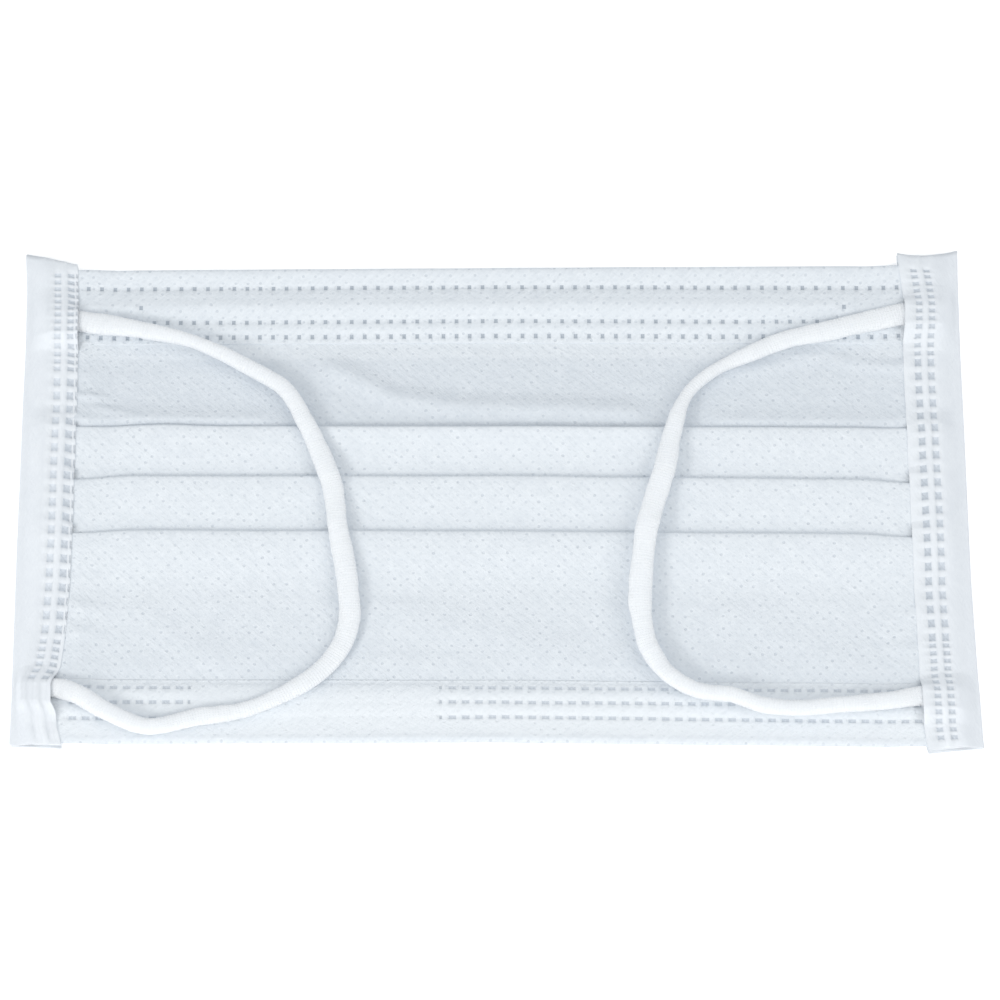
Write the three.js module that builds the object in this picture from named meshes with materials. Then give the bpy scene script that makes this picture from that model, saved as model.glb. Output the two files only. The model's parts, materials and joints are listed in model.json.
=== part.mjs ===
import * as THREE from 'three';

// Surgical face mask with three pleats, lying flat with its inner side up.
// Millimetres: +X runs across the face, +Y to the nose edge, +Z up from the table.

// Cloth
const WALL = 1.0; // thickness of one layer
const GAP = 0.3; // clearance between layers and between pieces
const LAYER = WALL + GAP; // rise from one layer to the next
const BEND = LAYER / 2; // radius of a fold, on the middle of the cloth
const REACH = BEND + WALL / 2; // radius of a fold, on its outside

// Pleated panel
const PLEAT_DEPTH = 4.0; // how far each pleat reaches below its visible fold
const LAST_SLOPE = 5.6; // length over which the panel drops after the lowest pleat
const NOSE_HEM = 15.5; // depth of the hem folded over at the nose edge
const CHIN_HEM = 11.2; // depth of the hem folded over at the chin edge
const LIFT = LAYER; // rise of the panel's ends onto the lower flaps

// Nose wire, in the nose hem
const WIRE_LENGTH = 128;
const WIRE_WIDTH = 3.0;
const WIRE_THICKNESS = 0.7;
const WIRE_Y = 38.2; // centre of the wire
const RIDGE_HALF = 2.0; // half width of the hem's raised strip over the wire
const RIDGE_RAMP = 1.4; // width of the strip's sloping sides
const RIDGE = WIRE_THICKNESS + GAP; // rise of the strip

// Side bindings
const FLAP_START = 1.3; // distance from the outer fold at which the upper flap begins to rise
const FLAP_TOP = 4.7; // distance at which it reaches its full height

// Ear loops
const LOOP_WIDTH = 4.0;
const LOOP_THICKNESS = 2.2;
const LOOP_SIDES = 10;
const LOOP_STEPS = 72;

// Sections of the pleated panel from left to right. nose, fold1 to fold3 and chin
// are the Y of the nose edge, of the three visible folds and of the chin edge.
const PANEL_SECTIONS = [
  { x: -82.2, lift: LIFT, ridge: 0, nose: 46.6, fold1: 14.2, fold2: 4.1, fold3: -6.9, chin: -47.1 },
  { x: -76.8, lift: LIFT, ridge: 0, nose: 46.6, fold1: 14.2, fold2: 4.1, fold3: -6.9, chin: -47.1 },
  { x: -69, lift: 0, ridge: RIDGE, nose: 46.7, fold1: 13.8, fold2: 4.1, fold3: -6.9, chin: -47.2 },
  { x: -61, lift: 0, ridge: RIDGE, nose: 46.7, fold1: 13.5, fold2: 4.0, fold3: -7.0, chin: -47.3 },
  { x: -52, lift: 0, ridge: RIDGE, nose: 46.8, fold1: 14.0, fold2: 4.0, fold3: -7.0, chin: -47.4 },
  { x: 0, lift: 0, ridge: RIDGE, nose: 47.1, fold1: 13.6, fold2: 3.9, fold3: -7.2, chin: -47.5 },
  { x: 60, lift: 0, ridge: RIDGE, nose: 47.4, fold1: 13.4, fold2: 2.9, fold3: -7.8, chin: -48.2 },
  { x: 69, lift: 0, ridge: RIDGE, nose: 47.5, fold1: 13.4, fold2: 2.8, fold3: -7.9, chin: -48.3 },
  { x: 76.2, lift: LIFT, ridge: 0, nose: 47.5, fold1: 13.4, fold2: 2.8, fold3: -7.9, chin: -48.3 },
  { x: 82.2, lift: LIFT, ridge: 0, nose: 47.5, fold1: 13.4, fold2: 2.8, fold3: -7.9, chin: -48.3 },
];

// Sections of the bindings from the nose end to the chin end. outerX and outerY are on
// the outer fold, innerX and innerY on the inner edge, height is the top of the upper flap.
const LEFT_BINDING_SECTIONS = [
  { outerX: -87.6, outerY: 50.2, innerX: -77.5, innerY: 47.7, height: 3.9 },
  { outerX: -87.5, outerY: 46.6, innerX: -77.5, innerY: 46.4, height: 4.9 },
  { outerX: -87.4, outerY: 38.6, innerX: -77.4, innerY: 38.6, height: 4.9 },
  { outerX: -87.3, outerY: 36.2, innerX: -77.4, innerY: 36.2, height: 7.4 },
  { outerX: -87.3, outerY: 33.0, innerX: -77.4, innerY: 33.0, height: 7.4 },
  { outerX: -87.3, outerY: 29.6, innerX: -77.4, innerY: 29.6, height: 3.8 },
  { outerX: -87.2, outerY: 18.0, innerX: -77.3, innerY: 18.0, height: 3.6 },
  { outerX: -87.2, outerY: 14.6, innerX: -77.3, innerY: 14.6, height: 6.2 },
  { outerX: -87.2, outerY: -11.6, innerX: -77.4, innerY: -11.6, height: 6.2 },
  { outerX: -87.2, outerY: -17.4, innerX: -77.6, innerY: -17.4, height: 3.7 },
  { outerX: -87.2, outerY: -26.0, innerX: -78.0, innerY: -26.0, height: 3.6 },
  { outerX: -87.3, outerY: -33.0, innerX: -78.9, innerY: -33.0, height: 3.8 },
  { outerX: -87.3, outerY: -36.8, innerX: -80.2, innerY: -36.8, height: 7.4 },
  { outerX: -87.3, outerY: -40.2, innerX: -80.2, innerY: -40.2, height: 7.4 },
  { outerX: -87.4, outerY: -43.2, innerX: -79.4, innerY: -43.2, height: 4.9 },
  { outerX: -87.4, outerY: -46.9, innerX: -78.6, innerY: -47.2, height: 4.9 },
  { outerX: -87.4, outerY: -48.4, innerX: -78.2, innerY: -49.7, height: 3.9 },
];
const RIGHT_BINDING_SECTIONS = [
  { outerX: 87.4, outerY: 50.5, innerX: 76.0, innerY: 49.3, height: 3.5 },
  { outerX: 87.3, outerY: 47.5, innerX: 76.1, innerY: 47.3, height: 4.9 },
  { outerX: 87.3, outerY: 40.4, innerX: 76.2, innerY: 40.4, height: 4.9 },
  { outerX: 87.2, outerY: 38.0, innerX: 76.3, innerY: 38.0, height: 7.4 },
  { outerX: 87.2, outerY: 34.8, innerX: 76.3, innerY: 34.8, height: 7.4 },
  { outerX: 87.2, outerY: 31.6, innerX: 76.4, innerY: 31.6, height: 4.9 },
  { outerX: 87.1, outerY: 29.4, innerX: 76.4, innerY: 29.4, height: 3.7 },
  { outerX: 87.1, outerY: 17.2, innerX: 76.4, innerY: 17.2, height: 3.6 },
  { outerX: 87.1, outerY: 13.8, innerX: 76.4, innerY: 13.8, height: 6.2 },
  { outerX: 87.0, outerY: -12.6, innerX: 76.5, innerY: -12.6, height: 6.2 },
  { outerX: 87.0, outerY: -18.4, innerX: 76.5, innerY: -18.4, height: 3.7 },
  { outerX: 87.2, outerY: -34.6, innerX: 76.8, innerY: -34.6, height: 3.7 },
  { outerX: 87.3, outerY: -38.6, innerX: 76.9, innerY: -38.6, height: 7.4 },
  { outerX: 87.4, outerY: -42.0, innerX: 77.0, innerY: -42.0, height: 7.4 },
  { outerX: 87.5, outerY: -44.6, innerX: 77.1, innerY: -44.6, height: 4.9 },
  { outerX: 87.7, outerY: -48.0, innerX: 77.3, innerY: -48.3, height: 4.9 },
  { outerX: 87.8, outerY: -49.0, innerX: 77.8, innerY: -50.5, height: 3.9 },
];

// Centre lines of the ear loops from the nose end to the chin end: x, y, z.
const LEFT_LOOP_ROUTE = [
  [-82.0, 34.6, 5.0],
  [-77.5, 34.6, 5.0],
  [-73.5, 34.3, 5.0],
  [-65.4, 33.2, 4.3],
  [-55.7, 30.6, 3.9],
  [-47.3, 26.1, 3.3],
  [-39.8, 21.4, 3.7],
  [-35.7, 14.4, 5.1],
  [-30.3, 3.2, 5.1],
  [-28.4, -7.4, 5.2],
  [-27.5, -12.0, 5.1],
  [-26.7, -17.4, 4.0],
  [-26.6, -24.6, 2.8],
  [-28.6, -30.3, 3.2],
  [-32.9, -35.4, 3.9],
  [-43.1, -41.6, 3.8],
  [-53.3, -43.5, 3.8],
  [-62.2, -45.2, 3.8],
  [-69.1, -43.1, 4.0],
  [-74.9, -40.0, 4.9],
  [-78.7, -38.7, 5.0],
  [-82.0, -38.5, 5.0],
];
const RIGHT_LOOP_ROUTE = [
  [82.0, 36.4, 5.0],
  [76.6, 36.2, 5.0],
  [73.0, 35.4, 5.1],
  [64.5, 33.2, 4.3],
  [55.2, 31.1, 3.9],
  [49.3, 28.8, 3.5],
  [41.4, 25.0, 3.2],
  [36.3, 20.4, 3.4],
  [33.4, 12.9, 4.9],
  [31.4, 5.0, 5.1],
  [29.3, -2.0, 5.1],
  [27.8, -7.4, 5.2],
  [26.8, -12.4, 5.1],
  [26.2, -17.6, 4.0],
  [26.0, -21.0, 3.2],
  [26.2, -24.9, 2.8],
  [27.4, -30.0, 3.2],
  [30.9, -35.4, 3.9],
  [36.0, -38.4, 3.8],
  [42.1, -39.4, 3.8],
  [47.4, -41.2, 3.8],
  [53.4, -41.8, 3.8],
  [61.8, -41.5, 3.9],
  [70.8, -40.9, 4.4],
  [76.6, -40.5, 5.0],
  [82.0, -40.3, 5.0],
];

const BEND_STEPS = 6;
const SLOPE_STEPS = 6;

// Adds half a turn between two layers to a path of [across, z] points. side is the
// direction the fold faces, edge is where its outside reaches to.
function addFold(path, edge, side, zFrom, zTo) {
  const centre = edge - side * REACH;
  const middle = (zFrom + zTo) / 2;
  const half = (zTo - zFrom) / 2;
  for (let i = 0; i <= BEND_STEPS; i += 1) {
    const angle = (Math.PI * i) / BEND_STEPS;
    path.push([centre + side * Math.abs(half) * Math.sin(angle), middle - half * Math.cos(angle)]);
  }
}

// Adds a soft slope that leaves one level and settles on another.
function addSlope(path, from, to, zFrom, zTo) {
  for (let i = 0; i <= SLOPE_STEPS; i += 1) {
    const t = i / SLOPE_STEPS;
    const ease = t * t * (3 - 2 * t);
    path.push([from + (to - from) * t, zFrom + (zTo - zFrom) * ease]);
  }
}

// Outline of a layer of cloth, WALL thick, from the path of its middle.
function clothOutline(path) {
  const above = [];
  const below = [];
  for (let i = 0; i < path.length; i += 1) {
    const here = path[i];
    const before = path[Math.max(i - 1, 0)];
    const after = path[Math.min(i + 1, path.length - 1)];
    const a = new THREE.Vector2(here[0] - before[0], here[1] - before[1]);
    const b = new THREE.Vector2(after[0] - here[0], after[1] - here[1]);
    if (a.length() === 0) a.copy(b);
    if (b.length() === 0) b.copy(a);
    a.normalize();
    b.normalize();
    const along = a.clone().add(b).normalize();
    const stretch = WALL / 2 / along.dot(a);
    above.push([here[0] - along.y * stretch, here[1] + along.x * stretch]);
    below.push([here[0] + along.y * stretch, here[1] - along.x * stretch]);
  }
  return above.concat(below.reverse());
}

// Closed solid through rings of points. Every ring has the same number of points and
// flat gives the outline of the first and last ring for closing the ends.
function loft(rings, flats) {
  const count = rings[0].length;
  const positions = rings.flat(2);
  const index = [];
  for (let r = 0; r < rings.length - 1; r += 1) {
    for (let k = 0; k < count; k += 1) {
      const a = r * count + k;
      const b = r * count + ((k + 1) % count);
      index.push(a, b, b + count, a, b + count, a + count);
    }
  }
  const first = flats[0].map((p) => new THREE.Vector2(p[0], p[1]));
  const last = flats[flats.length - 1].map((p) => new THREE.Vector2(p[0], p[1]));
  const offset = (rings.length - 1) * count;
  // caps face away from the rings between them
  const turned = THREE.ShapeUtils.isClockWise(first);
  for (const [a, b, c] of THREE.ShapeUtils.triangulateShape(first, [])) {
    if (turned) index.push(a, b, c);
    else index.push(c, b, a);
  }
  for (const [a, b, c] of THREE.ShapeUtils.triangulateShape(last, [])) {
    if (turned) index.push(offset + c, offset + b, offset + a);
    else index.push(offset + a, offset + b, offset + c);
  }
  if (signedVolume(positions, index) < 0) {
    for (let i = 0; i < index.length; i += 3) {
      const swap = index[i];
      index[i] = index[i + 1];
      index[i + 1] = swap;
    }
  }
  const geometry = new THREE.BufferGeometry();
  geometry.setAttribute('position', new THREE.Float32BufferAttribute(positions, 3));
  geometry.setIndex(index);
  const solid = geometry.toNonIndexed();
  solid.computeVertexNormals();
  return solid;
}

function signedVolume(positions, index) {
  const corners = [new THREE.Vector3(), new THREE.Vector3(), new THREE.Vector3()];
  let volume = 0;
  for (let i = 0; i < index.length; i += 3) {
    corners.forEach((corner, j) => corner.fromArray(positions, index[i + j] * 3));
    volume += corners[0].dot(corners[1].clone().cross(corners[2])) / 6;
  }
  return volume;
}

// Middle of the cloth at one section of the panel, from the raw edge of the nose hem
// round the nose edge, through the three pleats and round the chin edge.
function panelPath(section) {
  const low = WALL / 2;
  const middle = low + LAYER;
  const high = middle + LAYER;
  const path = [[section.nose - NOSE_HEM, middle]];
  path.push([WIRE_Y - RIDGE_HALF - RIDGE_RAMP, middle]);
  path.push([WIRE_Y - RIDGE_HALF, middle + section.ridge]);
  path.push([WIRE_Y + RIDGE_HALF, middle + section.ridge]);
  path.push([WIRE_Y + RIDGE_HALF + RIDGE_RAMP, middle]);
  addFold(path, section.nose, 1, middle, low);
  const folds = [section.fold1, section.fold2, section.fold3];
  folds.forEach((fold, i) => {
    const bottom = fold - PLEAT_DEPTH;
    const settle = i < 2 ? folds[i + 1] - 0.2 : bottom - LAST_SLOPE;
    addFold(path, bottom, -1, low, middle);
    addFold(path, fold, 1, middle, high);
    addSlope(path, bottom - 0.2, settle, high, low);
  });
  addFold(path, section.chin, -1, low, middle);
  path.push([section.chin + CHIN_HEM, middle]);
  return path;
}

function pleatedPanel() {
  const flats = PANEL_SECTIONS.map((section) => clothOutline(panelPath(section)));
  const rings = flats.map((flat, i) => {
    const section = PANEL_SECTIONS[i];
    return flat.map(([y, z]) => [section.x, y, z + section.lift]);
  });
  return loft(rings, flats);
}

// Middle of a binding's cloth at one section: lower flap, outer fold, upper flap.
function bindingPath(section) {
  const width = Math.abs(section.innerX - section.outerX);
  const path = [[width, WALL / 2]];
  addFold(path, 0, -1, WALL / 2, WALL / 2 + LAYER);
  addSlope(path, FLAP_START, FLAP_TOP, WALL / 2 + LAYER, section.height - WALL / 2);
  path.push([width, section.height - WALL / 2]);
  return path;
}

function binding(sections) {
  const flats = sections.map((section) => clothOutline(bindingPath(section)));
  const rings = flats.map((flat, i) => {
    const section = sections[i];
    const width = Math.abs(section.innerX - section.outerX);
    return flat.map(([across, z]) => {
      const t = across / width;
      const x = section.outerX + (section.innerX - section.outerX) * t;
      const y = section.outerY + (section.innerY - section.outerY) * t;
      return [x, y, z];
    });
  });
  return loft(rings, flats);
}

function noseWire() {
  const radius = WIRE_WIDTH / 2;
  const straight = WIRE_LENGTH / 2 - radius;
  const outline = new THREE.Shape();
  outline.moveTo(-straight, -radius);
  outline.lineTo(straight, -radius);
  outline.absarc(straight, 0, radius, -Math.PI / 2, Math.PI / 2, false);
  outline.lineTo(-straight, radius);
  outline.absarc(-straight, 0, radius, Math.PI / 2, (3 * Math.PI) / 2, false);
  const geometry = new THREE.ExtrudeGeometry(outline, {
    depth: WIRE_THICKNESS,
    bevelEnabled: false,
    curveSegments: 8,
  });
  geometry.translate(0, WIRE_Y, LAYER);
  return geometry;
}

function earLoop(route) {
  const outline = [];
  for (let i = 0; i < LOOP_SIDES; i += 1) {
    const angle = (2 * Math.PI * i) / LOOP_SIDES;
    const across = (LOOP_THICKNESS / 2) * Math.cos(angle);
    const along = (LOOP_WIDTH / 2) * Math.sin(angle);
    outline.push(new THREE.Vector2(across, along));
  }
  const points = route.map(([x, y, z]) => new THREE.Vector3(x, y, z));
  return new THREE.ExtrudeGeometry(new THREE.Shape(outline), {
    steps: LOOP_STEPS,
    bevelEnabled: false,
    extrudePath: new THREE.CatmullRomCurve3(points, false, 'centripetal'),
  });
}

function piece(name, geometry, colour, roughness) {
  const material = new THREE.MeshStandardMaterial({ color: colour, roughness, metalness: 0 });
  const mesh = new THREE.Mesh(geometry, material);
  mesh.name = name;
  return mesh;
}

const mask = new THREE.Group();
mask.name = 'surgical_face_mask';
mask.add(piece('filter_body', pleatedPanel(), 0xe6edf4, 0.9));
mask.add(piece('nose_wire', noseWire(), 0xd9dde2, 0.5));
mask.add(piece('left_binding', binding(LEFT_BINDING_SECTIONS), 0xe9eef5, 0.85));
mask.add(piece('right_binding', binding(RIGHT_BINDING_SECTIONS), 0xe9eef5, 0.85));
mask.add(piece('left_ear_loop', earLoop(LEFT_LOOP_ROUTE), 0xf6f8fa, 0.95));
mask.add(piece('right_ear_loop', earLoop(RIGHT_LOOP_ROUTE), 0xf6f8fa, 0.95));

export default mask;
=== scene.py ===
import json
import math

import bpy
from bpy.props import FloatProperty, FloatVectorProperty, PointerProperty
from mathutils import Matrix, Vector, noise
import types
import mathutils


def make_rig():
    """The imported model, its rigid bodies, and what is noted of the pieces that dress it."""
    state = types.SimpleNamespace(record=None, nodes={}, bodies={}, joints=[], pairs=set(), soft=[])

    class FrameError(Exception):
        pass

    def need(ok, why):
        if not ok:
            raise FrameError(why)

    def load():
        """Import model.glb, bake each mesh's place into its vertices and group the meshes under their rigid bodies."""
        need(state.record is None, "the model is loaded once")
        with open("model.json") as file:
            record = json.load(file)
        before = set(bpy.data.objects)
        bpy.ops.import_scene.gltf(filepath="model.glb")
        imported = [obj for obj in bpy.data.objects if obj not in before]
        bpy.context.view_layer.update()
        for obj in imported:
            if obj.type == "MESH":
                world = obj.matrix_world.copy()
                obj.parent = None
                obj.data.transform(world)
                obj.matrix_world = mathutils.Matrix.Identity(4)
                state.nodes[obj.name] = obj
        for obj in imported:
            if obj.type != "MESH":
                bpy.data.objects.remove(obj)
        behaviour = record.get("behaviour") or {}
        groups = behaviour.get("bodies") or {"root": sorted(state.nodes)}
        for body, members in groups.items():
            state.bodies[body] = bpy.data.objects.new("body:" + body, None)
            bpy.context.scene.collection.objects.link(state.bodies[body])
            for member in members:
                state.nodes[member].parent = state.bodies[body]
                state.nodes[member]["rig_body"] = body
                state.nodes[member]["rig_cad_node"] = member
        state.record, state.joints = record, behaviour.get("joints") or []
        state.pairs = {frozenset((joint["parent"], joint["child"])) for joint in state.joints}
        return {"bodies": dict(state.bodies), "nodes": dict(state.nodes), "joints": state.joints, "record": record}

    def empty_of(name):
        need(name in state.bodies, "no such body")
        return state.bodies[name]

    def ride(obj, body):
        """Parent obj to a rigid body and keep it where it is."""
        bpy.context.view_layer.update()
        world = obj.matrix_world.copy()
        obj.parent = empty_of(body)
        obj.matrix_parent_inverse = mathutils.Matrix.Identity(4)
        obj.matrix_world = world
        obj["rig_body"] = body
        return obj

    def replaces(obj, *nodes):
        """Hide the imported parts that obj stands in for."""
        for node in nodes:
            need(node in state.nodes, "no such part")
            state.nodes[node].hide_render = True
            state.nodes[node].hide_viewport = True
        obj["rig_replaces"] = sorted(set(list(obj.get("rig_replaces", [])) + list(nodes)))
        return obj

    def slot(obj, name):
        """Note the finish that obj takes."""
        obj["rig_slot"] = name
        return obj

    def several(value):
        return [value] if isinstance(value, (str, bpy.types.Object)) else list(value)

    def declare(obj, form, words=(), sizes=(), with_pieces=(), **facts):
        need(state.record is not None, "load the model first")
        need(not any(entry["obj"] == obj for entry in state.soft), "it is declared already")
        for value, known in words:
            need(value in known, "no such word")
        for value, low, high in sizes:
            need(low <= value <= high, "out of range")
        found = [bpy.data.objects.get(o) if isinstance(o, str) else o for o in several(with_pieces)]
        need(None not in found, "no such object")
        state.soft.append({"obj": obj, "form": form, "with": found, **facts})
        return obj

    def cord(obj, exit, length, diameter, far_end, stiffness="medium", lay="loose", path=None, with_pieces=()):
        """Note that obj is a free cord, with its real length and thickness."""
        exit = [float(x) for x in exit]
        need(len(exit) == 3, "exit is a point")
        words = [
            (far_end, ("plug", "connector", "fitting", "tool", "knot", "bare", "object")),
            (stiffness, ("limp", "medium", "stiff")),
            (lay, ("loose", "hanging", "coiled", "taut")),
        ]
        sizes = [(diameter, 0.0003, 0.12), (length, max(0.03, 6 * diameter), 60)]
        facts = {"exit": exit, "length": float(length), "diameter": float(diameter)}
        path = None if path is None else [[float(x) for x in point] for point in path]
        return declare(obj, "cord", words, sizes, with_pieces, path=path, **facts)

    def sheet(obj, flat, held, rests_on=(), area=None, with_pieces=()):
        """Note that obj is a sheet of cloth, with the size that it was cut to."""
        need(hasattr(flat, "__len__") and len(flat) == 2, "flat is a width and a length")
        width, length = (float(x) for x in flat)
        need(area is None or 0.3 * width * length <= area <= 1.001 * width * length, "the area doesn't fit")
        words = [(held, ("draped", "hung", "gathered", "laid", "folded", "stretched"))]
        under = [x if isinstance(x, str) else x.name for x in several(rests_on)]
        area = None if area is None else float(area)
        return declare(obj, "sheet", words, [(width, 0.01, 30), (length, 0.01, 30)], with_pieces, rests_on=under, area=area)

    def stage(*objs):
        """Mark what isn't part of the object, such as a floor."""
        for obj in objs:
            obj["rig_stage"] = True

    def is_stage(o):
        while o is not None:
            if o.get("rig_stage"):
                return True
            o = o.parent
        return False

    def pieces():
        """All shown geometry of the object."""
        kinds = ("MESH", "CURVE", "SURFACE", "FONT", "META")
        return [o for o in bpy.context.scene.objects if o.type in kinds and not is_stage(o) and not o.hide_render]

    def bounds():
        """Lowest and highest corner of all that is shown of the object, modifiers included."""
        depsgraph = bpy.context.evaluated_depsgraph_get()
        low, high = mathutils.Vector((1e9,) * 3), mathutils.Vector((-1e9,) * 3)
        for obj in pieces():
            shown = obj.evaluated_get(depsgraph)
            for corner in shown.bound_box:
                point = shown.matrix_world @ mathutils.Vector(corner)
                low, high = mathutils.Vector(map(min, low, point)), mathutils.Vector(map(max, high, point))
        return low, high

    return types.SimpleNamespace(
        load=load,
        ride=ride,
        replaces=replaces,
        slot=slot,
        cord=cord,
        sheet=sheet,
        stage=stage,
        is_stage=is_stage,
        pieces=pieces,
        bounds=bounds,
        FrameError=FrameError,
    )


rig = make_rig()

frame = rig.load()
CAD_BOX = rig.bounds()

bl_info = {
    "name": "Surgical Face Mask",
    "version": (1, 0, 0),
    "blender": (4, 5, 0),
    "location": "3D View > Sidebar > Face Mask",
    "description": "Builds a pleated face mask lying flat, inner side up, with its ear loops",
    "category": "Add Mesh",
}

# Tables are in millimetres, in the mask's own frame: +X across the face, +Y to the
# nose edge, +Z up from the table.
MM = 0.001

# Centre lines of the ear loops from the nose end to the chin end, how far the soft
# elastic lies to the left of them, seen along the loop, and how far it springs up.
# x, y, z, width, thickness, aside, spring
LEFT_LOOP_ROUTE = [
    (-82, 34.6, 5, 3.4, 1.3, 0, 0),
    (-77.5, 34.6, 5, 4.1, 1.7, 0, 0),
    (-73.5, 34.3, 5, 4.3, 2, -0.3, 0.3),
    (-65.4, 33.2, 4.3, 3.3, 2.1, -0.2, 1.2),
    (-55.7, 30.6, 3.9, 2.5, 2.1, 0.1, 1.7),
    (-47.3, 26.1, 3.3, 3, 2.1, 0.6, 1.6),
    (-39.8, 21.4, 3.7, 3.1, 2.1, 0.55, 1),
    (-35.7, 14.4, 5.1, 3.3, 2.1, 0.45, 0.5),
    (-30.3, 3.2, 5.1, 3.95, 2.1, -0.15, 0.2),
    (-28.4, -7.4, 5.2, 3.6, 2.1, -0.4, 0.2),
    (-27.5, -12, 5.1, 4, 2.1, -0.4, 0.3),
    (-26.7, -17.4, 4, 3.9, 2.1, -0.3, 0.5),
    (-26.6, -24.6, 2.8, 4, 2, 0, 0.7),
    (-28.6, -30.3, 3.2, 3.7, 2, 0.2, 0.6),
    (-32.9, -35.4, 3.9, 3.5, 2, 0.4, 0.4),
    (-43.1, -41.6, 3.8, 2.9, 2, 0, 0.3),
    (-53.3, -43.5, 3.8, 3.3, 2, 0.1, 0.3),
    (-62.2, -45.2, 3.8, 3, 2.1, 0.3, 0.7),
    (-69.1, -43.1, 4, 3.3, 2.1, 0, 1.1),
    (-74.9, -40, 4.9, 3.7, 2.1, 0, 0.6),
    (-78.7, -38.7, 5, 3.8, 1.8, 0, 0),
    (-82, -38.5, 5, 3.4, 1.3, 0, 0),
]
RIGHT_LOOP_ROUTE = [
    (82, 36.4, 5, 3.4, 1.3, 0.2, 0),
    (76.6, 36.2, 5, 4.4, 1.7, 0.4, 0),
    (73, 35.4, 5.1, 4.3, 1.9, 0.4, 0.3),
    (64.5, 33.2, 4.3, 4, 2, 0, 0.7),
    (55.2, 31.1, 3.9, 3.5, 2.1, -0.15, 0.9),
    (49.3, 28.8, 3.5, 3.3, 2.1, -0.25, 0.8),
    (41.4, 25, 3.2, 2.4, 2, -0.3, 0.7),
    (36.3, 20.4, 3.4, 2.3, 2, -0.25, 0.8),
    (33.4, 12.9, 4.9, 3.3, 2, -0.2, 1.2),
    (31.4, 5, 5.1, 4.1, 2, 0, 1.7),
    (29.3, -2, 5.1, 4.1, 2, -0.1, 2),
    (27.8, -7.4, 5.2, 4.2, 2, -0.1, 2.1),
    (26.8, -12.4, 5.1, 4, 2, 0.2, 2.1),
    (26.2, -17.6, 4, 4.35, 2, 0.2, 2.2),
    (26, -21, 3.2, 4.4, 2, 0.2, 2.3),
    (26.2, -24.9, 2.8, 3.7, 2, 0.35, 2.3),
    (27.4, -30, 3.2, 3.6, 2.1, 0.2, 2.1),
    (30.9, -35.4, 3.9, 3.3, 2.1, 0, 1.7),
    (36, -38.4, 3.8, 2.95, 2.1, -0.2, 1.4),
    (42.1, -39.4, 3.8, 2.9, 2.1, -0.1, 1.8),
    (47.4, -41.2, 3.8, 3, 2.1, -0.2, 2),
    (53.4, -41.8, 3.8, 2.95, 2.1, -0.35, 1.9),
    (61.8, -41.5, 3.9, 3, 2.1, -0.1, 1.5),
    (70.8, -40.9, 4.4, 3.3, 2.1, -0.2, 0.7),
    (76.6, -40.5, 5, 3.8, 1.8, 0, 0),
    (82, -40.3, 5, 3.4, 1.3, 0, 0),
]

# How far the mask's cross lines run off the level towards each side.
# y at the middle, shift at the left binding, shift at the right binding
CROSS_LINES = [
    (47.15, -0.5, 0.4),
    (43.32, -0.5, -0.35),
    (36.27, -0.45, -0.35),
    (33.4, -0.45, -0.3),
    (14.2, 0.1, -0.4),
    (4.15, 0.1, -0.95),
    (-6.95, 0.3, -0.84),
    (-37, 0.25, -1),
    (-39.9, 0.15, -1),
    (-42.75, -0.2, -1.2),
    (-48, -0.1, -1.05),
]

# Hems, with the height of the cloth's middle. Weld rows 1 to 3 are in the nose hem and 4 to
# 6 in the chin hem. Row 7 holds the two spots over the wire.
# y, height, weld row or 0
NOSE_HEM = [
    (32.05, 0.43, 0),
    (32.2, 0.46, 0),
    (32.84, 0.6, 0),
    (32.97, 0.62, 3),
    (33.83, 0.76, 3),
    (33.96, 0.79, 0),
    (34.8, 0.97, 0),
    (35.7, 1, 0),
    (35.85, 0.98, 2),
    (36.69, 0.99, 2),
    (36.82, 1.03, 0),
    (37.6, 1.26, 0),
    (38.3, 1.53, 0),
    (38.68, 1.66, 7),
    (39.52, 1.7, 7),
    (39.8, 1.66, 0),
    (40.6, 1.45, 0),
    (41.5, 1.2, 0),
    (42.76, 1.02, 0),
    (42.89, 0.99, 1),
    (43.73, 0.99, 1),
    (43.86, 1.02, 0),
    (44.6, 1.13, 0),
    (45.6, 1.36, 0),
]
CHIN_HEM = [
    (-46.3, 1.36, 0),
    (-45.2, 1.18, 0),
    (-43.7, 1.02, 0),
    (-43.25, 1, 0),
    (-43.1, 0.98, 6),
    (-42.42, 0.98, 6),
    (-42.28, 1, 0),
    (-41.3, 1.03, 0),
    (-40.36, 1, 0),
    (-40.22, 0.98, 5),
    (-39.54, 0.98, 5),
    (-39.4, 0.98, 0),
    (-38.4, 0.92, 0),
    (-37.48, 0.8, 0),
    (-37.34, 0.78, 4),
    (-36.66, 0.69, 4),
    (-36.52, 0.65, 0),
    (-36.2, 0.46, 0),
    (-35.6, 0.42, 0),
    (-35.4, 0.42, 0),
]
NOSE_EDGE = 47.3
CHIN_EDGE = -47.65
HEM_TOP = 1.5  # height of the upper layer where a hem is folded over
FOLDS = (14.55, 4.54, -6.5)

# Weld marks in the hems: groups of four mesh lines stand at each mark
MARK_COUNT = 64
TOP_MARKS = (-78.24, 2.484, 0.34)  # first centre, pitch, half width
LOW_MARKS = (-75.43, 2.405, 0.68)
LOW_MARK_GAP = (9, 27)  # no marks between these groups, which are cut short themselves
WIRE_SPOTS = (5, 58)
# The marks of the nose hem bow to the left: x, shift
TOP_SHIFTS = [
    (-76, 0),
    (-50, -0.07),
    (-24, -0.45),
    (0, -0.78),
    (15, -0.8),
    (26, -0.7),
    (50, -0.48),
    (73, 0),
]

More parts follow.
